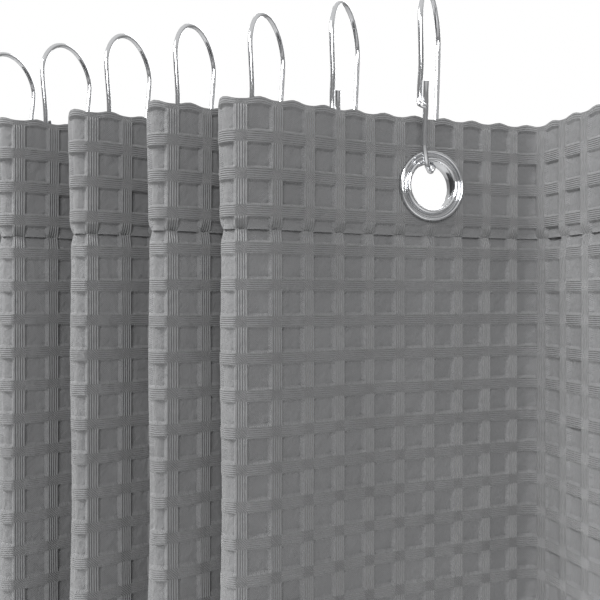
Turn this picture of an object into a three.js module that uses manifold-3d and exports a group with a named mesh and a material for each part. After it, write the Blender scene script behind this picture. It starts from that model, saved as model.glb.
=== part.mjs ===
// Shower curtain: a waffle cloth gathered in deep folds, twelve metal grommets and twelve wire hooks.
// The origin is on the axis of the rod it hangs from, at the first hook. +X runs along the rod.
import * as THREE from 'three';
import { mergeVertices } from 'three/addons/utils/BufferGeometryUtils.js';
import Module from 'manifold-3d';

// Driving dimensions, in millimetres and degrees
const GROMMET_COUNT = 12;
const GROMMET_PITCH = 152.4; // between grommets, measured along the cloth
const SIDE_MARGIN = 76.2; // last grommet to the side edge, along the cloth
const DROP = 1828.8; // top edge to bottom edge
const GATHERED_PITCH = 29; // between hooks, measured along the rod
const CLOTH = 1.3; // thickness of one layer
const HEADER = 2; // thickness of the folded top hem
const HEADER_HEIGHT = 38.1;
const BOTTOM_HEM_HEIGHT = 25.4;
const GROMMET_R = 11.6;
const HOLE_R = 7.2;
const GROMMET_DROP = 22.4; // top edge to the centre of a grommet
const WALL = 0.5; // sheet metal of the grommet
const BEAD = 1.6; // how far the rolled front stands off its seat
const BEAD_SLOPE = 1.2; // width of each sloping side of the rolled front
const CURL = 0.9; // how far the barrel's rolled back end turns outwards
const CURL_BEVEL = 0.4; // widening of the throat at that end
const ROD_R = 12.5;
const WIRE_R = 0.85;
const ROD_SLACK = 1.5; // between the rod and the side of the hook's loop
const TOE_R = 8.4; // bend of the wire that passes through the grommet
const EDGE_BELOW_ROD = 15.5; // underside of the rod to the cloth's top edge
const LATCH_LAP = 6.5; // how far the two wire ends pass each other
const LATCH_TOP = 7.5; // underside of the rod to the upper wire end
const TOE_SLACK = 1.7; // lets the grommet hang askew on the wire
const TOE_FROM = 200; // the toe's bend, from the front leg round to the back leg
const TOE_TO = 340;
const ANKLE_RUN = 2; // straight wire above the toe before the two ends part
const LATCH_BEND = 4; // height over which the wire bends aside to the latch
const GAP = 0.3; // between touching pieces
const FLAT_MARGIN = 0.4; // flat cloth past the rim of a grommet

// Directions of the cloth in plan, counted from the rod
const FIRST_TURN = 40;
const TURN = 12;
const FIRST_LEAN = 47;
const LEAN = 58;
const CREST_WIDTH = 12; // handle length of the curve at a fold's front
const FIRST_BELLY = 1.8; // handle where the first fold leaves its grommet, as a share of CREST_WIDTH
const BELLY = 0.42; // the same on the other folds
const ROOT_WIDTH = 19; // handle length where the cloth turns back behind a grommet
const VALLEY = 41; // first grommet to the bend in the loose side of the cloth
const FLAP_TURN = -50;

const TOP = -ROD_R - EDGE_BELOW_ROD;
const HOLE_Z = TOP - GROMMET_DROP;
const TOE_Z = HOLE_Z + HOLE_R - WIRE_R - TOE_SLACK;
const FLAT_HALF = GROMMET_R + FLAT_MARGIN;
const SEAT = HEADER / 2 + GAP;
const LOOP_R = ROD_R + ROD_SLACK + WIRE_R;
const LOOP_Z = ROD_R + WIRE_R - LOOP_R;

// How finely curves are cut up
const CHORDS = 6; // straight pieces in each half of a fold
const RING_SIDES = 16;
const WIRE_SIDES = 6;
const WIRE_STEPS = 38;
const TOE_STEPS = 5;
const LOOP_STEPS = 9;
const HALVINGS = 40; // when a fold is fitted to its cloth
const MERGE_WITHIN = 1e-4;

const clothFinish = { color: 0x6c6d6f, roughness: 0.85, metalness: 0 };
const chromeFinish = { color: 0xc9cbce, roughness: 0.15, metalness: 1 };

const wasm = await Module();
wasm.setup();

const curtain = new THREE.Group();

function add(name, geometry, finish, place = new THREE.Vector3(), turn = 0) {
  const mesh = new THREE.Mesh(geometry, new THREE.MeshStandardMaterial(finish));
  mesh.name = name;
  mesh.position.copy(place);
  mesh.rotation.z = turn;
  curtain.add(mesh);
}

// Booleans

function solid(geometry) {
  const bare = geometry.index ? geometry.toNonIndexed() : geometry.clone();
  bare.deleteAttribute('normal');
  bare.deleteAttribute('uv');
  const merged = mergeVertices(bare, MERGE_WITHIN);
  const vertProperties = new Float32Array(merged.attributes.position.array);
  const triVerts = new Uint32Array(merged.index.array);
  return new wasm.Manifold(new wasm.Mesh({ numProp: 3, vertProperties, triVerts }));
}

function geometryOf(manifold) {
  const mesh = manifold.getMesh();
  const geometry = new THREE.BufferGeometry();
  geometry.setAttribute('position', new THREE.BufferAttribute(new Float32Array(mesh.vertProperties), 3));
  geometry.setIndex(Array.from(mesh.triVerts));
  geometry.computeVertexNormals();
  return geometry;
}

// The cloth's line in plan

const rad = THREE.MathUtils.degToRad;
const heading = (degrees) => new THREE.Vector2(Math.cos(rad(degrees)), Math.sin(rad(degrees)));
const turnAt = (k) => (k === 0 ? FIRST_TURN : TURN);
const leanAt = (k) => (k === 0 ? FIRST_LEAN : LEAN);
const bellyAt = (k) => CREST_WIDTH * (k === 0 ? FIRST_BELLY : BELLY);
const hookX = (k) => -GATHERED_PITCH * k;

function along(point, degrees, distance) {
  return point.clone().addScaledVector(heading(degrees), distance);
}

function flatEnd(k, side) {
  return along(new THREE.Vector2(hookX(k), 0), turnAt(k), side * FLAT_HALF);
}

// One fold runs from the left of grommet k round its crest to the right of grommet k + 1.
function foldOf(k, reach) {
  const left = flatEnd(k, -1);
  const right = flatEnd(k + 1, 1);
  const crest = along(left.clone().add(right).multiplyScalar(0.5), leanAt(k), -reach);
  const outward = along(crest, leanAt(k) - 90, CREST_WIDTH);
  const inward = along(crest, leanAt(k) - 90, -CREST_WIDTH);
  const start = along(left, turnAt(k), -bellyAt(k));
  const finish = along(right, turnAt(k + 1), ROOT_WIDTH);
  return [
    new THREE.CubicBezierCurve(left, start, outward, crest),
    new THREE.CubicBezierCurve(crest, inward, finish, right),
  ];
}

function clothIn(curves) {
  return curves.reduce((sum, curve) => sum + curve.getLength(), 2 * FLAT_HALF);
}

// The crest goes as far forward as the cloth between two grommets lets it.
function fold(k) {
  let near = 0;
  let far = GROMMET_PITCH;
  for (let step = 0; step < HALVINGS; step += 1) {
    const reach = (near + far) / 2;
    if (clothIn(foldOf(k, reach)) < GROMMET_PITCH) near = reach;
    else far = reach;
  }
  return foldOf(k, near);
}

const folds = Array.from({ length: GROMMET_COUNT - 1 }, (_, k) => fold(k));

// The loose sides: one bends forward past a valley, the other hangs straight out.
function rightFlap() {
  const valley = along(new THREE.Vector2(hookX(0), 0), FIRST_TURN, VALLEY);
  const before = along(valley, FIRST_TURN, -CREST_WIDTH);
  const after = along(valley, FLAP_TURN, CREST_WIDTH);
  const edge = along(valley, FLAP_TURN, SIDE_MARGIN - VALLEY);
  const bend = new THREE.CubicBezierCurve(before, valley, valley, after);
  return [edge, ...bend.getPoints(CHORDS).reverse()];
}

function leftFlap() {
  const last = GROMMET_COUNT - 1;
  const start = flatEnd(last, -1);
  const out = along(start, turnAt(last), -CREST_WIDTH);
  const edge = along(start, LEAN, FLAT_HALF - SIDE_MARGIN);
  return new THREE.CubicBezierCurve(start, out, edge, edge).getPoints(CHORDS);
}

// A panel's points, with one more past each end to square its cut edges to the cloth.
function panelLine(k) {
  const last = GROMMET_COUNT - 1;
  const before = k === 0 ? rightFlap() : folds[k - 1][1].getPoints(CHORDS);
  const after = k === last ? leftFlap() : folds[k][0].getPoints(CHORDS);
  const line = [...before, ...(k === 0 ? [flatEnd(k, 1)] : []), ...after];
  const past = (end, inner) => end.clone().multiplyScalar(2).sub(inner);
  const first = k === 0 ? past(line[0], line[1]) : folds[k - 1][0].getPoints(CHORDS)[CHORDS - 1];
  const beyond = k === last ? past(line.at(-1), line.at(-2)) : folds[k][1].getPoints(CHORDS)[1];
  return [first, ...line, beyond];
}

// Cloth

function sideways(line, i) {
  return new THREE.Vector2(line[i - 1].y - line[i + 1].y, line[i + 1].x - line[i - 1].x).normalize();
}

function outline(line, thickness) {
  const rows = line.slice(1, -1).map((point, i) => {
    const across = sideways(line, i + 1).multiplyScalar(thickness / 2);
    const cut = new THREE.Vector2(across.y, -across.x).setLength(i === 0 ? GAP : 0);
    return { point: point.clone().add(cut), across };
  });
  const left = rows.map(({ point, across }) => point.clone().add(across));
  const right = rows.map(({ point, across }) => point.clone().sub(across));
  return [...right, ...left.reverse()];
}

// A closed stack of outlines, each at its own height, with flat ends.
function stack(levels) {
  const count = levels[0].points.length;
  const at = levels.flatMap(({ points, z }) => points.map((point) => [point.x, point.y, z]));
  const faces = [];
  levels.slice(1).forEach((_, row) => {
    for (let i = 0; i < count; i += 1) {
      const next = (i + 1) % count;
      const below = row * count;
      const above = below + count;
      faces.push([below + i, below + next, above + next], [below + i, above + next, above + i]);
    }
  });
  const cap = THREE.ShapeUtils.triangulateShape(levels[0].points, []);
  const top = (levels.length - 1) * count;
  cap.forEach(([a, b, c]) => faces.push([a, c, b], [top + a, top + b, top + c]));
  const geometry = new THREE.BufferGeometry();
  geometry.setAttribute('position', new THREE.Float32BufferAttribute(at.flat(), 3));
  geometry.setIndex(faces.flat());
  return solid(geometry);
}

function punch(k) {
  const radius = HOLE_R + WALL + GAP;
  const through = 4 * HEADER;
  const tool = new THREE.CylinderGeometry(radius, radius, through, RING_SIDES);
  tool.rotateZ(rad(turnAt(k)));
  tool.translate(hookX(k), 0, HOLE_Z);
  return solid(tool);
}

function panel(k) {
  const line = panelLine(k);
  const thin = outline(line, CLOTH);
  const thick = outline(line, HEADER);
  const bottom = TOP - DROP;
  const cloth = stack([
    { points: thick, z: bottom },
    { points: thick, z: bottom + BOTTOM_HEM_HEIGHT },
    { points: thin, z: bottom + BOTTOM_HEM_HEIGHT },
    { points: thin, z: TOP - HEADER_HEIGHT },
    { points: thick, z: TOP - HEADER_HEIGHT },
    { points: thick, z: TOP },
  ]);
  return geometryOf(cloth.subtract(punch(k)));
}

// Grommet: a front eyelet whose barrel goes through the cloth, and a washer behind it

function ring(profile) {
  const points = profile.map(([radius, depth]) => new THREE.Vector2(radius, depth));
  return new THREE.LatheGeometry([...points, points[0].clone()], RING_SIDES);
}

function eyelet() {
  const barrel = HOLE_R + WALL;
  const back = SEAT + GAP + WALL;
  return ring([
    [HOLE_R, back],
    [HOLE_R, -SEAT],
    [HOLE_R + BEAD_SLOPE, -SEAT - BEAD],
    [GROMMET_R - BEAD_SLOPE, -SEAT - BEAD],
    [GROMMET_R, -SEAT],
    [barrel, -SEAT],
    [barrel, back + GAP],
    [barrel + CURL, back + GAP],
    [barrel + CURL, back + GAP + WALL],
    [HOLE_R + CURL_BEVEL, back + GAP + WALL],
  ]);
}

function washer() {
  const inner = HOLE_R + WALL + GAP;
  return ring([
    [inner, SEAT],
    [GROMMET_R, SEAT],
    [GROMMET_R, SEAT + WALL],
    [inner, SEAT + GAP + WALL],
  ]);
}

// Hook: one wire round the rod and through the grommet, whose two ends lie side by side in front

function hookLine() {
  const toe = TOE_Z + TOE_R;
  const slope = Math.asin((LOOP_R - TOE_R) / (LOOP_Z - toe));
  const arc = (radius, height, degrees) => {
    const angle = rad(degrees);
    return new THREE.Vector3(0, radius * Math.cos(angle), height + radius * Math.sin(angle));
  };
  const arcs = (radius, height, from, to, steps) => (
    Array.from({ length: steps + 1 }, (_, i) => arc(radius, height, from + ((to - from) * i) / steps))
  );
  const tilt = THREE.MathUtils.radToDeg(slope);
  const shoulder = arc(LOOP_R, LOOP_Z, 180 + tilt);
  const ankle = arc(TOE_R, toe, 180 + tilt);
  const front = (z, side) => {
    const share = (z - shoulder.z) / (ankle.z - shoulder.z);
    return shoulder.clone().lerp(ankle, share).setX(side);
  };
  const apart = WIRE_R + GAP / 2;
  const upper = -ROD_R - LATCH_TOP;
  const lower = upper - LATCH_LAP;
  const points = [
    front(upper, apart),
    front(lower, apart),
    front(ankle.z + ANKLE_RUN, 0),
    ...arcs(TOE_R, toe, TOE_FROM, TOE_TO, TOE_STEPS),
    ...arcs(LOOP_R, LOOP_Z, 0, 180, LOOP_STEPS),
    front(upper + LATCH_BEND, 0),
    front(upper, -apart),
    front(lower, -apart),
  ];
  return new THREE.CatmullRomCurve3(points, false, 'centripetal');
}

function hook() {
  const rim = new THREE.EllipseCurve(0, 0, WIRE_R, WIRE_R).getPoints(WIRE_SIDES);
  const section = new THREE.Shape(rim.slice(0, WIRE_SIDES));
  const sweep = { extrudePath: hookLine(), steps: WIRE_STEPS, bevelEnabled: false };
  return new THREE.ExtrudeGeometry(section, sweep);
}

const label = (k) => String(k + 1).padStart(2, '0');
for (let k = 0; k < GROMMET_COUNT; k += 1) {
  const grommet = new THREE.Vector3(hookX(k), 0, HOLE_Z);
  add(`panel_${label(k)}`, panel(k), clothFinish);
  add(`eyelet_${label(k)}`, eyelet(), chromeFinish, grommet, rad(turnAt(k)));
  add(`washer_${label(k)}`, washer(), chromeFinish, grommet, rad(turnAt(k)));
  add(`hook_${label(k)}`, hook(), chromeFinish, new THREE.Vector3(hookX(k), 0, 0));
}

export default curtain;
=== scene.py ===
import math

import bpy
import numpy as np
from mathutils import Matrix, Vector


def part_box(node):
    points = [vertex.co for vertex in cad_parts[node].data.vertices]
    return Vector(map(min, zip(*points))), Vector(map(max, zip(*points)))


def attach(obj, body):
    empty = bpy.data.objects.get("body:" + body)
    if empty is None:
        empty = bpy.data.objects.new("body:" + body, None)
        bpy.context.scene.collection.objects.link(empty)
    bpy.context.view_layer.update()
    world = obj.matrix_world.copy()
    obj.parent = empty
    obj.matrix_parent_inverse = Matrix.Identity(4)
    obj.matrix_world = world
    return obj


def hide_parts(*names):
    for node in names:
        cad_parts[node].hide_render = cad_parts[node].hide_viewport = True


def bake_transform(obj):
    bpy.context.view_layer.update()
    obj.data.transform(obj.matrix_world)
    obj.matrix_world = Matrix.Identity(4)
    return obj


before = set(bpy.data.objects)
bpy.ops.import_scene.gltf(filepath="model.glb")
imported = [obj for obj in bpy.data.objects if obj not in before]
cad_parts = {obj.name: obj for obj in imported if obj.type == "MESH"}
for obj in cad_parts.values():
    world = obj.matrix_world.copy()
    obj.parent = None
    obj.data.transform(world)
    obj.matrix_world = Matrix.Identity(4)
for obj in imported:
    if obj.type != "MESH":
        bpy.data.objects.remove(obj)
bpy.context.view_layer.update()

# A waffle cloth shower curtain on wire hooks. Sizes are in metres, and places come from the frame.
MM = 0.001
COUNT = sum(name.startswith("hook_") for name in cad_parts)
LABELS = [f"{k + 1:02d}" for k in range(COUNT)]


def middle(node):
    low, high = (np.array(corner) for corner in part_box(node))
    return (low + high) / 2


HOOK_X = [middle(f"hook_{label}")[0] for label in LABELS]
GROMMET_Z = middle("eyelet_02")[2]
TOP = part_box("panel_02")[1][2]
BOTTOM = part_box("panel_02")[0][2]

# The cloth's size: cloth between two grommets, cloth past the last one, and square waffle cells
PITCH = 152.4 * MM
MARGIN = 76.2 * MM
CELLS = 14
CELL = PITCH / CELLS
ROWS = round((TOP - BOTTOM) / CELL)
HEADER_CELLS = 3.5
HEM_CELLS = 7 / 3
LAYER = 0.9 * MM

# The waffle: half a pocket with its rim, and the rim's run, as shares of a cell
POCKET_HALF, RIM = 0.345, 0.07
POCKET_DEPTH = 1.15 * MM
POCKET_SPREAD = 0.16
RIM_SHADE = 0.75
BOWL_EDGE, BOWL_FLOOR = 0.36, 0.27
MARK_GAP = 0.02
RIBS_UP, RIBS_ACROSS, TWILL, PLAIN = 15, 17, 14, 18

# The folds in plan: turns and leans are degrees from the rod
FLAT_HALF = 12.0 * MM
FIRST_TURN, TURN = 40.0, 12.0
FIRST_LEAN, LEAN = 47.0, 58.0
FIRST_BELLY, BELLY = 1.8, 0.42
CREST_WIDTH, ROOT_WIDTH = 12.0 * MM, 19.0 * MM
VALLEY = 41.0 * MM
FLAP_TURN = -50.0
HALVINGS = 32
LEVELS = 13
SHARED_SWAY, OWN_SWAY, WIDTH_SWAY = 3.0, 1.2, 0.25
SEED = 7

# The cloth's edges and seams: the cloth lies flat in a grommet and loosens over CLAMP_RUN
CLAMP_GAP, CLAMP_RUN = 0.2 * MM, 2.2 * MM
SCALLOP, SCALLOP_DROP, SCALLOP_CELLS = 0.9 * MM, 0.5 * MM, 0.5
SEAM_DEPTH, SEAM_PUFF, SEAM_CELLS = 1.1 * MM, 0.35 * MM, 0.3
WAVE = 0.55 * MM
HEM_STEP, FOLD_CELLS = 0.45 * MM, 0.25
LINING_GAP, LINING_CELLS, LINING_SHARE = 1.3 * MM, 0.5, 0.4
SIDE_BEHIND = 1.2 * LAYER
STITCH_SPACING, THREAD_R, STITCH_PROUD = 2.6 * MM, 0.24 * MM, 0.12 * MM
STITCH_SHAPE = (0.75, 0.75, 3.4)
STITCH_LINE_POINTS = 220

# The metal
HOLE_R, GROMMET_R = 7.2 * MM, 11.6 * MM
HOLE_CUT = HOLE_R + 1.4 * MM
WIRE_R, TOE_R, ROD_D = 0.85 * MM, 8.4 * MM, 25 * MM
LATCH_DROP, LATCH_LENGTH, LATCH_GAP = 7.5 * MM, 6.5 * MM, 0.1 * MM
WIRE_POINTS, WIRE_SIDES = 190, 12
PLATING, PLATING_ROUGHNESS, ROUGHNESS_SPREAD = 0.72, 0.13, 0.12

# The picture
CAMERA_YAW, CAMERA_LENS = 21.4, 45
CAMERA_AWAY, CAMERA_ASIDE, CAMERA_DROP = 0.2453, 0.0425, 0.0595
ROOM_LOW, ROOM_HIGH = 0.26, 0.75
FLOOR_HALF, FLOOR_GAP = 6.0, 0.05

RNG = np.random.default_rng(SEED)


def heading(degrees):
    angle = math.radians(degrees)
    return np.array([math.cos(angle), math.sin(angle)])


def turn_at(k):
    return FIRST_TURN if k == 0 else TURN


def bezier(points, count=48):
    t = np.linspace(0, 1, count)[:, None]
    a, b, c, d = points
    return (1 - t) ** 3 * a + 3 * (1 - t) ** 2 * t * b + 3 * (1 - t) * t * t * c + t ** 3 * d


def length(line):
    return np.linalg.norm(np.diff(line, axis=0), axis=1).sum()


def along(line, distances):
    """The points of a line at the given distances from its start."""
    steps = np.concatenate([[0], np.cumsum(np.linalg.norm(np.diff(line, axis=0), axis=1))])
    shares = distances / distances[-1] * steps[-1]
    return np.column_stack([np.interp(shares, steps, line[:, axis]) for axis in (0, 1)])


def hook_at(k):
    return np.array([HOOK_X[k], 0.0])


def fold_line(k, lean, crest_width, reach):
    """One fold in plan, from grommet to crest and back to the next grommet."""
    belly = FIRST_BELLY if k == 0 else BELLY
    left = hook_at(k) - FLAT_HALF * heading(turn_at(k))
    right = hook_at(k + 1) + FLAT_HALF * heading(turn_at(k + 1))
    crest = (left + right) / 2 - reach * heading(lean)
    outward = crest_width * heading(lean - 90)
    start = left - crest_width * belly * heading(turn_at(k))
    finish = right + ROOT_WIDTH * heading(turn_at(k + 1))
    first = bezier((left, start, crest + outward, crest))
    second = bezier((crest, crest - outward, finish, right))
    return np.vstack([hook_at(k), first, second[1:], hook_at(k + 1)])


def fitted_fold(k, lean, crest_width):
    """The fold whose line holds exactly the cloth between two grommets."""
    near, far = 0.0, PITCH
    for _ in range(HALVINGS):
        reach = (near + far) / 2
        if length(fold_line(k, lean, crest_width, reach)) < PITCH:
            near = reach
        else:
            far = reach
    return fold_line(k, lean, crest_width, near)


def drift(size, steps=LEVELS):
    """A slow random change down the cloth that starts from nothing at the top."""
    walk = np.cumsum(RNG.normal(0, 1, steps))
    walk -= walk[0]
    return size * walk / max(np.abs(walk).max(), 1e-9) * np.minimum(np.arange(steps) / 2, 1)


SWAY = drift(SHARED_SWAY)


def fold_levels(k):
    """The fold's plan lines from the top of the cloth to its bottom."""
    lean = (FIRST_LEAN if k == 0 else LEAN) + SWAY + drift(OWN_SWAY)
    width = CREST_WIDTH * (1 + np.abs(drift(WIDTH_SWAY)))
    return [fitted_fold(k, lean[i], width[i]) for i in range(LEVELS)]


def right_flap():
    """The cloth past the first grommet, back into a valley and forward to its edge."""
    valley = hook_at(0) + VALLEY * heading(FIRST_TURN)
    before = valley - CREST_WIDTH * heading(FIRST_TURN)
    after = valley + CREST_WIDTH * heading(FLAP_TURN)
    edge = valley + (MARGIN - VALLEY) * heading(FLAP_TURN)
    return np.vstack([edge, bezier((after, valley, valley, before)), hook_at(0)])


def left_flap():
    """The cloth past the last grommet, leaning forward to its edge."""
    last = COUNT - 1
    start = hook_at(last) - FLAT_HALF * heading(TURN)
    out = start - CREST_WIDTH * heading(TURN)
    edge = start - (MARGIN - FLAT_HALF) * heading(LEAN)
    return np.vstack([hook_at(last), bezier((start, out, edge, edge))])


# Where a cell changes height: ribs, a sloping rim, the sunk pocket, a rim and ribs
COARSE = (0.155, 0.225, 0.5, 0.775, 0.845)
COARSE_ROWS = (0.155, 0.225, 0.775, 0.845)
FINE = (0.0, 0.08, 0.155, 0.19, 0.225, 0.36, 0.5, 0.64, 0.775, 0.81, 0.845, 0.92)


def marks(start, stop, fractions):
    """Grid lines in cells from start to stop, set where the weave changes height."""
    inner = [cell + f for cell in range(math.floor(start), math.ceil(stop)) for f in fractions]
    return np.array([start] + [m for m in inner if start + MARK_GAP < m < stop - MARK_GAP] + [stop])


def sunk(cells):
    """1 in the middle of a cell, 0 on its ribs, with a sloping rim between."""
    place = np.abs(cells - np.floor(cells) - 0.5)
    return np.clip((POCKET_HALF - place) / RIM, 0, 1)


UNEVEN = RNG.normal(1, POCKET_SPREAD, (CELLS + 2, ROWS + 2))


def loose(u, v):
    """0 where the cloth is clamped flat in a grommet, 1 away from it."""
    beside = np.minimum(np.abs(u), np.abs(u - CELLS)) * CELL
    away = np.hypot(beside, v * CELL - (TOP - GROMMET_Z))
    return np.clip((away - GROMMET_R - CLAMP_GAP) / CLAMP_RUN, 0, 1)


def pockets(u, v):
    """How deep the waffle is sunk, a little different in each cell."""
    uneven = UNEVEN[np.floor(u).astype(int) % CELLS, np.floor(v).astype(int)]
    return POCKET_DEPTH * uneven * sunk(u) * sunk(v) * loose(u, v)


def at_rows(levels, columns, v):
    """The plan line at each row: the levels' lines joined by a smooth curve down the cloth."""
    lines = np.array([along(line, columns) for line in levels])
    if len(levels) == 1:
        return np.repeat(lines, len(v), axis=0)
    place = v / ROWS * (len(levels) - 1)
    low = np.clip(place.astype(int), 0, len(levels) - 2)
    share = (place - low)[:, None, None]
    share = share * share * (3 - 2 * share)
    return lines[low] * (1 - share) + lines[low + 1] * share


def surface(levels, span, u, v, lift):
    """Points of the cloth at u cells along and v down, lift(u, v) metres proud of its middle."""
    across = u * CELL
    start, stop = span
    whole = np.unique(np.concatenate([across, [start, stop]]))
    plan = at_rows(levels, whole - start, v)
    slope = np.gradient(plan, whole, axis=1)
    slope /= np.linalg.norm(slope, axis=2, keepdims=True)
    keep = np.isin(whole, across)
    plan, slope = plan[:, keep], slope[:, keep]
    front = np.stack([-slope[..., 1], slope[..., 0]], axis=2)
    grid_u, grid_v = np.meshgrid(u, v)
    place = plan + front * lift(grid_u, grid_v)[..., None]
    fading = np.clip(1 - grid_v / SCALLOP_CELLS, 0, 1)
    scallop = np.sin(math.pi * (grid_u - np.floor(grid_u))) ** 3 * fading
    height = TOP - grid_v * CELL + SCALLOP * scallop - SCALLOP_DROP
    return np.concatenate([place, height[..., None]], axis=2), np.stack([grid_u, grid_v], axis=2)


def seam_dent(u, v):
    """The stitched line of the header and of the bottom hem, pulled in and puckered at each rib."""
    at_rib = np.cos(math.pi * u)
    pucker = 0.3 + 1.05 * at_rib ** 8 + 0.3 * np.sin(2.7 * u + 1.3) * np.sin(5.1 * u)
    dent = np.zeros_like(u)
    for row in (HEADER_CELLS, ROWS - HEM_CELLS):
        near = np.clip(1 - np.abs(v - row) / SEAM_CELLS, 0, 1) ** 1.3
        puff = np.clip(1 - np.abs(v - row - 0.5) / SEAM_CELLS, 0, 1) * at_rib ** 4
        dent += SEAM_PUFF * puff - SEAM_DEPTH * near * pucker
    return dent


def soft_waves(u, v):
    """Slight unevenness of a soft cloth, nothing at the lines under the grommets."""
    still = np.sin(math.pi * np.clip(u / CELLS, 0, 1)) ** 2
    wave = np.sin(0.9 * u + 0.35 * v) * np.cos(0.45 * v - 0.6 * u) + 0.5 * np.sin(0.21 * v + 0.4 * u)
    return WAVE * wave * still


def face_lift(u, v):
    """The front of the cloth, a little proud where it is double."""
    hem = np.where((v < HEADER_CELLS) | (v > ROWS - HEM_CELLS), HEM_STEP, 0.0)
    edge = np.clip(v / FOLD_CELLS, 0, 1)
    return hem * edge + seam_dent(u, v) + soft_waves(u, v) - pockets(u, v)


def lining_lift(u, v):
    """The turned-back layer, clear of the pockets before it and drawn in at its edges and seam."""
    ends = np.minimum.reduce([v, ROWS - v, np.abs(v - HEADER_CELLS), np.abs(v - ROWS + HEM_CELLS)])
    behind = LAYER + LINING_GAP * loose(u, v) * np.clip(ends / LINING_CELLS, 0, 1)
    folded = np.clip(np.minimum(v, ROWS - v) / FOLD_CELLS, 0, 1)
    return soft_waves(u, v) - behind * folded + LINING_SHARE * (seam_dent(u, v) + pockets(u, v))


def side_lift(u, v):
    """The narrow strip turned back along the curtain's side edge."""
    return face_lift(u, v) - SIDE_BEHIND


def patch(levels, span, u, v, lift, inward=False, hole_at=()):
    """Vertices, faces and weave coordinates of a rectangle of cloth, with holes for grommets."""
    points, weave = surface(levels, span, u, v, lift)
    rows, columns = len(v), len(u)
    index = np.arange(rows * columns).reshape(rows, columns)
    corners = [index[:-1, :-1], index[1:, :-1], index[1:, 1:], index[:-1, 1:]]
    quads = np.stack(corners, axis=-1).reshape(-1, 4)
    points, weave = points.reshape(-1, 3), weave.reshape(-1, 2)
    for centre in hole_at:
        middle_z = (TOP - GROMMET_Z) / CELL
        across = weave[quads].mean(axis=1) - np.array([centre, middle_z])
        quads = quads[np.hypot(across[:, 0], across[:, 1]) * CELL > HOLE_CUT]
    return points, quads[:, ::-1] if inward else quads, weave


def joined(patches):
    points, quads, weave, offset = [], [], [], 0
    for p, q, w in patches:
        points.append(p)
        quads.append(q + offset)
        weave.append(w)
        offset += len(p)
    return np.vstack(points), np.vstack(quads), np.vstack(weave)


def grid_mesh(name, points, quads, weave):
    mesh = bpy.data.meshes.new(name)
    mesh.vertices.add(len(points))
    mesh.vertices.foreach_set("co", points.astype(np.float32).ravel())
    mesh.loops.add(quads.size)
    mesh.loops.foreach_set("vertex_index", quads.astype(np.int32).ravel())
    mesh.polygons.add(len(quads))
    mesh.polygons.foreach_set("loop_start", np.arange(0, quads.size, 4, dtype=np.int32))
    mesh.update(calc_edges=True)
    layer = mesh.uv_layers.new(name="weave")
    layer.data.foreach_set("uv", weave[quads.ravel()].astype(np.float32).ravel())
    mesh.polygons.foreach_set("use_smooth", np.ones(len(quads), bool))
    piece = bpy.data.objects.new(name, mesh)
    bpy.context.scene.collection.objects.link(piece)
    return piece


def crisp(mesh, points, quads, weave):
    """Shades the weave's flats and its sloping rims apart, each by its own faces."""
    corners = points[quads]
    facing = np.cross(corners[:, 2] - corners[:, 0], corners[:, 3] - corners[:, 1])
    smooth = np.zeros_like(points)
    place = np.abs(weave[quads].mean(axis=1) % 1 - 0.5)
    sloping = (place > POCKET_HALF - RIM) & (place < POCKET_HALF)
    rim = sloping.any(axis=1) & (place.min(axis=1) < POCKET_HALF)
    for corner in range(4):
        np.add.at(smooth, quads[~rim, corner], facing[~rim])
    bare = np.linalg.norm(smooth, axis=1) < 1e-15
    for corner in range(4):
        at = quads[:, corner]
        np.add.at(smooth, at[bare[at]], facing[bare[at]])
    sizes = np.linalg.norm(smooth, axis=1, keepdims=True)
    smooth /= np.where(sizes > 0, sizes, 1)  # a vertex in a grommet's hole has no faces
    slope = facing / np.linalg.norm(facing, axis=1, keepdims=True)
    normals = smooth[quads]
    normals[rim] = RIM_SHADE * slope[rim][:, None] + (1 - RIM_SHADE) * normals[rim]
    normals /= np.linalg.norm(normals, axis=2, keepdims=True)
    mesh.normals_split_custom_set(normals.reshape(-1, 3))


def cloth(name, levels, first, last, holes, side=None):
    """A width of cloth from first to last cells, with its header and hem folded to the back."""
    span = (first * CELL, last * CELL)
    header = marks(0, HEADER_CELLS, FINE)
    body = marks(HEADER_CELLS, ROWS - HEM_CELLS, COARSE_ROWS)
    hem = marks(ROWS - HEM_CELLS, ROWS, COARSE_ROWS)
    fine, coarse = marks(first, last, FINE), marks(first, last, COARSE)
    patches = [
        patch(levels, span, fine, header, face_lift, hole_at=holes),
        patch(levels, span, coarse, body, face_lift),
        patch(levels, span, coarse, hem, face_lift),
        patch(levels, span, fine, header, lining_lift, inward=True, hole_at=holes),
        patch(levels, span, coarse, hem, lining_lift, inward=True),
    ]
    if side is not None:
        strip = marks(*side, COARSE)
        patches.append(patch(levels, span, strip, body, side_lift, inward=True))
    whole = joined(patches)
    piece = grid_mesh(name, *whole)
    crisp(piece.data, *whole)
    return piece


# Shader maths

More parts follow.
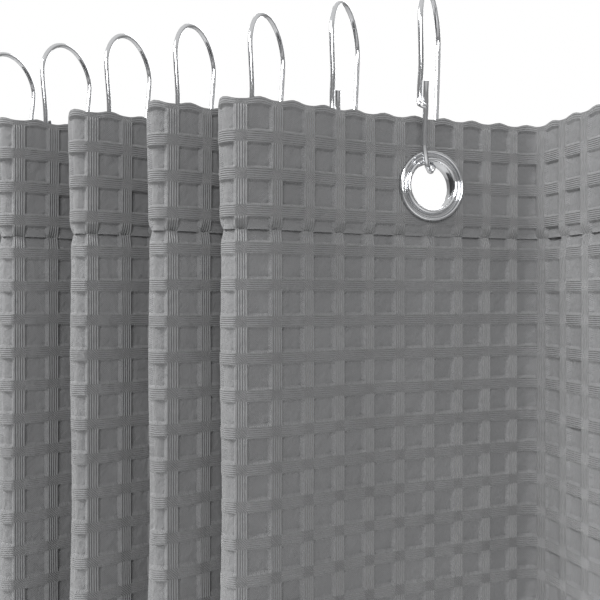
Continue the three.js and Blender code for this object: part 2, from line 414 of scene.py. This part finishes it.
class Maths:
    """A socket or a number that the operators turn into Math nodes."""

    def __init__(self, tree, socket):
        self.tree, self.socket = tree, socket

    def _node(self, operation, *values):
        node = self.tree.nodes.new("ShaderNodeMath")
        node.operation = operation
        for slot, value in zip(node.inputs, values):
            if isinstance(value, Maths):
                self.tree.links.new(value.socket, slot)
            else:
                slot.default_value = value
        return Maths(self.tree, node.outputs[0])

    def __add__(self, other):
        return self._node("ADD", self, other)

    def __sub__(self, other):
        return self._node("SUBTRACT", self, other)

    def __mul__(self, other):
        return self._node("MULTIPLY", self, other)

    def __rsub__(self, other):
        return self._node("SUBTRACT", other, self)

    def __lt__(self, other):
        return self._node("LESS_THAN", self, other)

    __radd__, __rmul__ = __add__, __mul__

    def fraction(self):
        return self._node("FRACT", self)

    def size(self):
        return self._node("ABSOLUTE", self)

    def sine(self):
        return self._node("SINE", self)

    def __pow__(self, other):
        return self._node("POWER", self, other)

    def between(self, low, high):
        """0 at low and 1 at high, even on the way and held past both."""
        share = (self - low) * (1 / (high - low))
        share.socket.node.use_clamp = True
        return share


class Nodes:
    """A node tree that is built up one node at a time."""

    def __init__(self, tree):
        self.tree = tree

    def node(self, kind, settings=None, **inputs):
        """A new node: its settings first, then the values or links of its named sockets."""
        made = self.tree.nodes.new(kind)
        for name, value in (settings or {}).items():
            if name == "stops":
                for element, (place, colour) in zip(made.color_ramp.elements, value):
                    element.position, element.color = place, colour
            else:
                setattr(made, name, value)
        for name, value in inputs.items():
            self.feed(made.inputs[name.replace("_", " ")], value)
        return made

    def feed(self, socket, value):
        if isinstance(value, Maths):
            value = value.socket
        if isinstance(value, bpy.types.NodeSocket):
            self.tree.links.new(value, socket)
        else:
            socket.default_value = value

    def maths(self, socket):
        return Maths(self.tree, socket)


class Finish(Nodes):
    """A material and the nodes in it."""

    def __init__(self, name, **constants):
        self.material = bpy.data.materials.new(name)
        self.material.use_nodes = True
        super().__init__(self.material.node_tree)
        self.shader = self.tree.nodes["Principled BSDF"]
        for socket, value in constants.items():
            self.shader.inputs[socket.replace("_", " ")].default_value = value

    def two_tone(self, share, dark, light):
        """A colour between two greys."""
        mix = self.node("ShaderNodeMix", {"data_type": "RGBA", "clamp_factor": True})
        self.feed(mix.inputs[0], share)
        self.feed(mix.inputs[6], grey(dark))
        self.feed(mix.inputs[7], grey(light))
        return mix.outputs[2]

    def set(self, socket, value):
        self.feed(self.shader.inputs[socket], value)


def grey(level):
    return (level, level * 1.01, level * 1.03, 1)


def cloth_finish():
    """Dark grey polyester: fine ribs between the pockets, twill where they cross, plain weave inside."""
    finish = Finish("waffle_cloth", Roughness=0.62, Sheen_Weight=0.25, Sheen_Roughness=0.4)
    weave = finish.node("ShaderNodeUVMap", {"uv_map": "weave"})
    parts = finish.node("ShaderNodeSeparateXYZ", Vector=weave.outputs["UV"])
    u, v = finish.maths(parts.outputs["X"]), finish.maths(parts.outputs["Y"])
    side_u, side_v = (u.fraction() - 0.5).size(), (v.fraction() - 0.5).size()
    rib_u, rib_v = 1 - (side_u < POCKET_HALF), 1 - (side_v < POCKET_HALF)
    upright = rib_u * (1 - rib_v)
    level = rib_v * (1 - rib_u)
    crossing = rib_u * rib_v
    pocket = (1 - rib_u) * (1 - rib_v)
    turn = 2 * math.pi
    wobble = finish.node("ShaderNodeTexNoise", Vector=weave.outputs["UV"], Scale=2.5, Detail=3.0)
    shift = (finish.maths(wobble.outputs["Fac"]) - 0.5) * 1.6
    ribs_up = (u * (turn * RIBS_UP) + shift).sine()
    ribs_across = (v * (turn * RIBS_ACROSS) + shift).sine()
    twill = ((u + v) * (turn * TWILL) + shift).sine()
    plain = ((u + v) * (turn * PLAIN)).sine() * 0.6 + ((u - v) * (turn * PLAIN)).sine() * 0.4
    threads = (upright * ribs_up + level * ribs_across * 0.8
               + crossing * twill * 0.9 + pocket * plain * 0.4)
    bowl = ((side_u ** 4 + side_v ** 4) ** 0.25).between(BOWL_EDGE, BOWL_FLOOR)
    fuzz = finish.node("ShaderNodeTexNoise", Vector=weave.outputs["UV"], Scale=60.0, Detail=2.0)
    crumple = finish.node("ShaderNodeTexNoise", Vector=weave.outputs["UV"], Scale=3.2, Detail=2.0)
    height = (threads + (finish.maths(fuzz.outputs["Fac"]) - 0.5) * 0.8 - bowl * 1.4
              + finish.maths(crumple.outputs["Fac"]) * 5.0)
    bump = finish.node("ShaderNodeBump", Strength=0.85, Distance=0.00024, Height=height)
    finish.set("Normal", bump.outputs["Normal"])
    cloud = finish.node("ShaderNodeTexNoise", Vector=weave.outputs["UV"], Scale=0.35, Detail=4.0)
    # Painted highlight: the thread crests (threads * 0.12) are painted lighter for the yarn's sheen. The
    # noise clouds are the cloth's own uneven tone.
    tone = (0.5 + threads * 0.12 + (finish.maths(cloud.outputs["Fac"]) - 0.5) * 0.5
            + (finish.maths(fuzz.outputs["Fac"]) - 0.5) * 0.5 + (upright + level) * 0.06)
    finish.set("Base Color", finish.two_tone(tone, 0.088, 0.2))
    return finish.material


def metal_finish(name, level, roughness, scratch):
    """Bright plating with faint polishing marks."""
    finish = Finish(name, Metallic=1.0)
    finish.set("Base Color", grey(level))
    place = finish.node("ShaderNodeTexCoord")
    polish = finish.node("ShaderNodeTexNoise", Vector=place.outputs["Object"], Scale=scratch,
                         Detail=5.0)
    wear = finish.maths(polish.outputs["Fac"])
    finish.set("Roughness", wear * ROUGHNESS_SPREAD + (roughness - ROUGHNESS_SPREAD / 2))
    bump = finish.node("ShaderNodeBump", Strength=0.05, Distance=0.0001, Height=wear)
    finish.set("Normal", bump.outputs["Normal"])
    return finish.material


def thread_finish():
    """Twisted sewing thread in the cloth's colour."""
    finish = Finish("hem_thread", Roughness=0.5, Sheen_Weight=0.3)
    place = finish.node("ShaderNodeTexCoord")
    twist = finish.node("ShaderNodeTexWave", Vector=place.outputs["Object"], Scale=900.0,
                        Distortion=1.0)
    finish.set("Base Color", finish.two_tone(twist.outputs["Fac"], 0.09, 0.19))
    return finish.material


# Metal pieces

def lathe(name, profile, k, sides=72):
    """A closed ring turned from (radius, depth) points about the grommet's axis."""
    radius, depth = np.array(profile).T
    angles = np.linspace(0, 2 * math.pi, sides, endpoint=False)
    turn = math.radians(turn_at(k))
    across = np.cos(angles)[:, None] * radius
    up = np.sin(angles)[:, None] * radius
    back = np.broadcast_to(depth, across.shape)
    x = HOOK_X[k] + across * math.cos(turn) - back * math.sin(turn)
    y = across * math.sin(turn) + back * math.cos(turn)
    points = np.stack([x, y, GROMMET_Z + up], axis=2).reshape(-1, 3)
    index = np.arange(sides * len(radius)).reshape(sides, len(radius))
    right = np.roll(index, -1, axis=0)
    quads = np.stack([index, right, np.roll(right, -1, axis=1), np.roll(index, -1, axis=1)], axis=-1)
    return grid_mesh(name, points, quads.reshape(-1, 4), np.zeros((len(points), 2)))


def arc(centre, radii, start, stop, steps):
    """Points of an ellipse from start to stop degrees."""
    angles = np.radians(np.linspace(start, stop, steps))
    return [(centre[0] + radii[0] * math.cos(a), centre[1] + radii[1] * math.sin(a)) for a in angles]


def eyelet_profile():
    """Rolled outer rim, a groove, the raised inner roll and the throat, then the flare behind."""
    face = -1.05 * MM
    outer = arc((10.9 * MM, face), (0.7 * MM, 1.3 * MM), 0, -180, 9)
    groove = [(9.85 * MM, face - 0.25 * MM), (9.4 * MM, face - 0.25 * MM)]
    inner = arc((8.5 * MM, face - 0.1 * MM), (0.85 * MM, 1.5 * MM), 0, -180, 11)
    throat = [(7.35 * MM, -0.4 * MM), (HOLE_R, 0.4 * MM), (7.25 * MM, 1.2 * MM)]
    flare = arc((7.9 * MM, 1.75 * MM), (0.6 * MM, 0.6 * MM), 180, 0, 7)
    under = [(7.75 * MM, 1.3 * MM), (7.75 * MM, face + 0.3 * MM), (11.3 * MM, face + 0.3 * MM)]
    return outer + groove + inner + throat + flare + under


def washer_profile():
    """A domed ring that sits on the back of the cloth round the flare."""
    seat = 1.15 * MM
    crown = arc((9.7 * MM, seat), (1.8 * MM, 0.9 * MM), 180, 0, 11)
    return crown + [(11.45 * MM, seat - 0.12 * MM), (7.95 * MM, seat - 0.12 * MM)]


def wire_points():
    """The wire in its own upright plane: lower end, toe in the grommet, back leg, loop, upper end."""
    low, high = (np.array(corner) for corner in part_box("hook_02"))
    loop_r = (high[1] - low[1]) / 2 - WIRE_R
    loop_z = high[2] - WIRE_R - loop_r
    toe_z = low[2] + WIRE_R + TOE_R
    tilt = math.asin((loop_r - TOE_R) / (loop_z - toe_z))
    toward = -np.array([math.cos(tilt), math.sin(tilt)])
    shoulder = np.array([0, loop_z]) + loop_r * toward
    ankle = np.array([0, toe_z]) + TOE_R * toward

    def front(z, side, proud=0.0):
        """A point of the front leg at height z, side to one side and proud of it."""
        share = (z - shoulder[1]) / (ankle[1] - shoulder[1])
        y = shoulder[0] + share * (ankle[0] - shoulder[0])
        return (side, y - proud, z)

    def round_stretch(radius, centre_z, degrees):
        turns = np.radians(degrees)
        return [(0, radius * math.cos(a), centre_z + radius * math.sin(a)) for a in turns]

    upper = loop_z + loop_r - WIRE_R - ROD_D - LATCH_DROP
    lower = upper - LATCH_LENGTH
    apart = WIRE_R + LATCH_GAP
    points = [front(upper + 1 * MM, apart * 1.5, 0.6 * MM), front(upper - 2 * MM, apart),
              front(lower, apart), front(lower - 4 * MM, apart * 0.5),
              front(ankle[1] + 2 * MM, 0)]
    points += round_stretch(TOE_R, toe_z, np.arange(200, 341, 20))
    points += round_stretch(loop_r, loop_z, np.arange(0, 181, 15))
    points += [front(upper + 5 * MM, 0), front(upper, -apart)]
    curl = np.array(front(lower + 1.5 * MM, -apart))
    points.append(tuple(curl))
    wrap = [(-0.3, 0.9, 0.4), (0.9, 1.15, -0.3), (1.9, 0.3, -0.6), (1.7, -0.9, -0.2)]
    for side, proud, up in wrap:
        points.append(tuple(curl + np.array([side, -proud, up - 1.2]) * MM))
    return points


def new_tree(name, inputs, output):
    """The Nodes of a new geometry tree that takes the inputs, and the sockets they come from."""
    tree = bpy.data.node_groups.new(name, "GeometryNodeTree")
    for socket, kind in inputs:
        tree.interface.new_socket(socket, in_out="INPUT", socket_type="NodeSocket" + kind)
    tree.interface.new_socket(output, in_out="OUTPUT", socket_type="NodeSocketGeometry")
    make = Nodes(tree)
    return make, make.node("NodeGroupInput").outputs


def wire_tree():
    """Sweeps a round wire along a curve. The input Radius sets its thickness."""
    sockets = [("Line", "Geometry"), ("Radius", "Float"), ("Finish", "Material")]
    make, given = new_tree("drawn_wire", sockets, "Wire")
    line = make.node("GeometryNodeResampleCurve", Curve=given["Line"], Count=WIRE_POINTS)
    ring = make.node("GeometryNodeCurvePrimitiveCircle", Radius=given["Radius"],
                     Resolution=WIRE_SIDES)
    sweep = make.node("GeometryNodeCurveToMesh", Curve=line.outputs["Curve"],
                      Profile_Curve=ring.outputs["Curve"], Fill_Caps=True)
    smooth = make.node("GeometryNodeSetShadeSmooth", Geometry=sweep.outputs["Mesh"])
    real = make.node("GeometryNodeRealizeInstances", Geometry=smooth.outputs["Geometry"])
    coat = make.node("GeometryNodeSetMaterial", Geometry=real.outputs["Geometry"],
                     Material=given["Finish"])
    make.node("NodeGroupOutput", Wire=coat.outputs["Geometry"])
    return make.tree


def stitch_tree():
    """Puts a short thread at every point of a line of points, turned along its own direction."""
    sockets = [("Line", "Geometry"), ("Spacing", "Float"), ("Thread", "Float"),
               ("Finish", "Material")]
    make, given = new_tree("stitch_row", sockets, "Stitches")
    points = make.node("GeometryNodeCurveToPoints", {"mode": "LENGTH"}, Curve=given["Line"],
                       Length=given["Spacing"])
    bead = make.node("GeometryNodeMeshUVSphere", Segments=6, Rings=5, Radius=given["Thread"])
    thread = make.node("GeometryNodeTransform", Geometry=bead.outputs["Mesh"], Scale=STITCH_SHAPE)
    place = make.node("GeometryNodeInstanceOnPoints", Points=points.outputs["Points"],
                      Instance=thread.outputs["Geometry"], Rotation=points.outputs["Rotation"])
    real = make.node("GeometryNodeRealizeInstances", Geometry=place.outputs["Instances"])
    smooth = make.node("GeometryNodeSetShadeSmooth", Geometry=real.outputs["Geometry"])
    coat = make.node("GeometryNodeSetMaterial", Geometry=smooth.outputs["Geometry"],
                     Material=given["Finish"])
    make.node("NodeGroupOutput", Stitches=coat.outputs["Geometry"])
    return make.tree


def grown(name, lines, tree, curved, **inputs):
    """A plain mesh grown by a node tree from lines of points, curved between them or straight."""
    data = bpy.data.curves.new(name, "CURVE")
    data.dimensions = "3D"
    data.resolution_u = 12
    for line in lines:
        spline = data.splines.new("NURBS" if curved else "POLY")
        spline.points.add(len(line) - 1)
        weighted = np.column_stack([np.array(line), np.ones(len(line))])
        spline.points.foreach_set("co", weighted.ravel())
        spline.use_endpoint_u = True
        if curved:
            spline.order_u = 4
    holder = bpy.data.objects.new(name + "_line", data)
    bpy.context.scene.collection.objects.link(holder)
    modifier = holder.modifiers.new("grow", "NODES")
    modifier.node_group = tree
    for item in tree.interface.items_tree:
        if item.in_out == "INPUT" and item.name in inputs:
            modifier[item.identifier] = inputs[item.name]
    bpy.context.view_layer.update()
    evaluated = holder.evaluated_get(bpy.context.evaluated_depsgraph_get())
    mesh = bpy.data.meshes.new_from_object(evaluated)
    bpy.data.objects.remove(holder)
    mesh.name = name
    piece = bpy.data.objects.new(name, mesh)
    bpy.context.scene.collection.objects.link(piece)
    return piece


# Camera and light

def make_camera():
    """Close in front of the first folds and a little to their right, level, looking along them."""
    yaw = math.radians(CAMERA_YAW)
    right = np.array([math.cos(yaw), math.sin(yaw)])
    ahead = np.array([-math.sin(yaw), math.cos(yaw)])
    place = hook_at(0) - CAMERA_ASIDE * right - CAMERA_AWAY * ahead
    data = bpy.data.cameras.new("camera")
    data.lens, data.sensor_width = CAMERA_LENS, 36
    data.clip_start = 0.01
    camera = bpy.data.objects.new("camera", data)
    camera.location = (place[0], place[1], TOP - CAMERA_DROP)
    camera.rotation_euler = (math.radians(90), 0, yaw)
    bpy.context.scene.collection.objects.link(camera)
    bpy.context.scene.camera = camera


def softbox(name, place, target, size, power):
    """A round soft light that faces its target."""
    data = bpy.data.lights.new(name, "AREA")
    data.shape, data.size, data.energy = "DISK", size, power
    light = bpy.data.objects.new(name, data)
    light.location = place
    light.rotation_euler = (Vector(place) - Vector(target)).to_track_quat("Z", "Y").to_euler()
    bpy.context.scene.collection.objects.link(light)


def backdrop_light():
    """White behind the curtain, and a dimmer room, lighter above, for everything that reflects it."""
    world = bpy.data.worlds.new("studio")
    bpy.context.scene.world = world
    world.use_nodes = True
    make = Nodes(world.node_tree)
    place = make.node("ShaderNodeTexCoord")
    parts = make.node("ShaderNodeSeparateXYZ", Vector=place.outputs["Generated"])
    stops = [(stop, (level, level, level, 1)) for stop, level in ((0.1, ROOM_LOW), (0.75, ROOM_HIGH))]
    ramp = make.node("ShaderNodeValToRGB", {"stops": stops}, Fac=parts.outputs["Z"])
    room = world.node_tree.nodes["Background"]
    make.feed(room.inputs["Color"], ramp.outputs["Color"])
    white = make.node("ShaderNodeBackground", Strength=1.0, Color=(1, 1, 1, 1))
    mix = make.node("ShaderNodeMixShader")
    seen = make.node("ShaderNodeLightPath").outputs["Is Camera Ray"]
    for socket, value in zip(mix.inputs, (seen, room.outputs[0], white.outputs[0])):
        make.feed(socket, value)
    make.feed(world.node_tree.nodes["World Output"].inputs["Surface"], mix.outputs["Shader"])


def studio():
    """Three soft lights, the room and a pale floor."""
    backdrop_light()
    centre = (HOOK_X[1], -0.03, TOP - 0.12)
    softbox("key", (-1.1, -1.0, 0.9), centre, size=0.8, power=42)
    softbox("front", (0.45, -1.6, 0.35), centre, size=0.9, power=25)
    softbox("back", (-0.3, 1.4, 0.6), centre, size=1.2, power=10)
    bpy.context.scene.view_settings.view_transform = "Standard"
    data = bpy.data.meshes.new("floor")
    low = BOTTOM - FLOOR_GAP
    signs = ((-1, -1), (1, -1), (1, 1), (-1, 1))
    corners = [(x * FLOOR_HALF, y * FLOOR_HALF, low) for x, y in signs]
    data.from_pydata(corners, [], [(0, 1, 2, 3)])
    floor = bpy.data.objects.new("floor", data)
    pale = Finish("floor_pale", Roughness=0.8)
    pale.set("Base Color", (0.8, 0.8, 0.8, 1))
    data.materials.append(pale.material)
    bpy.context.scene.collection.objects.link(floor)


# The object

def finish_piece(piece, material):
    piece.data.materials.clear()
    piece.data.materials.append(material)
    return piece


def crest_of(levels):
    """The foremost point of the fold at the top of the cloth."""
    line = levels[0]
    return line[np.argmin(line[:, 1])]


def follow(piece, k, levels):
    """Works out where a fold would bend between the two hooks it hangs from, half way at its crest, and
    bakes the piece's place into its mesh.
    """
    here, there, crest = hook_at(k), hook_at(k + 1), crest_of(levels)
    clear = FLAT_HALF / 2
    start = here - clear * heading(turn_at(k))
    stop = there + clear * heading(turn_at(k + 1))
    gradient = np.linalg.solve(np.array([stop - start, crest - start]), np.array([1.0, 0.5]))
    end = start + gradient / (gradient @ gradient)
    f"cloth_{LABELS[k + 1]}"
    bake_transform(piece)


def thread_lift(u, v):
    return face_lift(u, v) + STITCH_PROUD


def stitch_lines(levels, first, last):
    """Two rows of stitches, just proud of the cloth's face."""
    span = (first * CELL, last * CELL)
    u = np.linspace(first, last, STITCH_LINE_POINTS)
    lines = []
    for row in (HEADER_CELLS, ROWS - HEM_CELLS):
        points, _ = surface(levels, span, u, np.array([row]), thread_lift)
        lines.append(points[0])
    return lines


def cloth_widths():
    """Every width of cloth: its name, plan lines, first and last cell, holes and turned side."""
    half = CELLS / 2
    yield "cloth_edge_right", [right_flap()], -half, 0, (0,), (-half, -half + 1)
    for k, label in enumerate(LABELS[:-1]):
        yield f"cloth_fold_{label}", fold_levels(k), 0, CELLS, (0, CELLS), None
    yield "cloth_edge_left", [left_flap()], 0, half, (0,), (half - 1, half)


def make_cloth():
    """Each edge rides on its own body of cloth, and each fold stays where it is built, between two of
    them.
    """
    finish, thread, tree = cloth_finish(), thread_finish(), stitch_tree()
    for i, (name, levels, first, last, holes, side) in enumerate(cloth_widths()):
        piece = finish_piece(cloth(name, levels, first, last, holes, side), finish)
        seam = grown(name.replace("cloth", "stitches"), stitch_lines(levels, first, last), tree,
                     curved=False, Spacing=STITCH_SPACING, Thread=THREAD_R, Finish=thread)
        finish_piece(seam, thread)
        for part in (piece, seam):
            if 0 < i < COUNT:
                follow(part, i - 1, levels)
            else:
                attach(part, f"cloth_{LABELS[min(i, COUNT - 1)]}")
        if i < COUNT:
            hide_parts(f"panel_{LABELS[i]}")


def make_metal():
    """A grommet's front and back on each width of cloth, and the wire hook through it."""
    plating = metal_finish("grommet_plating", PLATING, PLATING_ROUGHNESS, 700.0)
    bright = metal_finish("wire_plating", PLATING, PLATING_ROUGHNESS, 900.0)
    tree = wire_tree()
    line = np.array(wire_points())
    for k, label in enumerate(LABELS):
        eyelet = lathe(f"grommet_front_{label}", eyelet_profile(), k)
        washer = lathe(f"grommet_back_{label}", washer_profile(), k)
        wire = grown(f"wire_hook_{label}", [line + np.array([HOOK_X[k], 0, 0])], tree,
                     curved=True, Radius=WIRE_R, Finish=bright)
        finish_piece(eyelet, plating)
        finish_piece(washer, plating)
        finish_piece(wire, bright)
        for piece, body, node in ((eyelet, "cloth", "eyelet"), (washer, "cloth", "washer"),
                                  (wire, "hook", "hook")):
            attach(piece, f"{body}_{label}")
            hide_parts(f"{node}_{label}")


make_camera()
make_cloth()
make_metal()
studio()
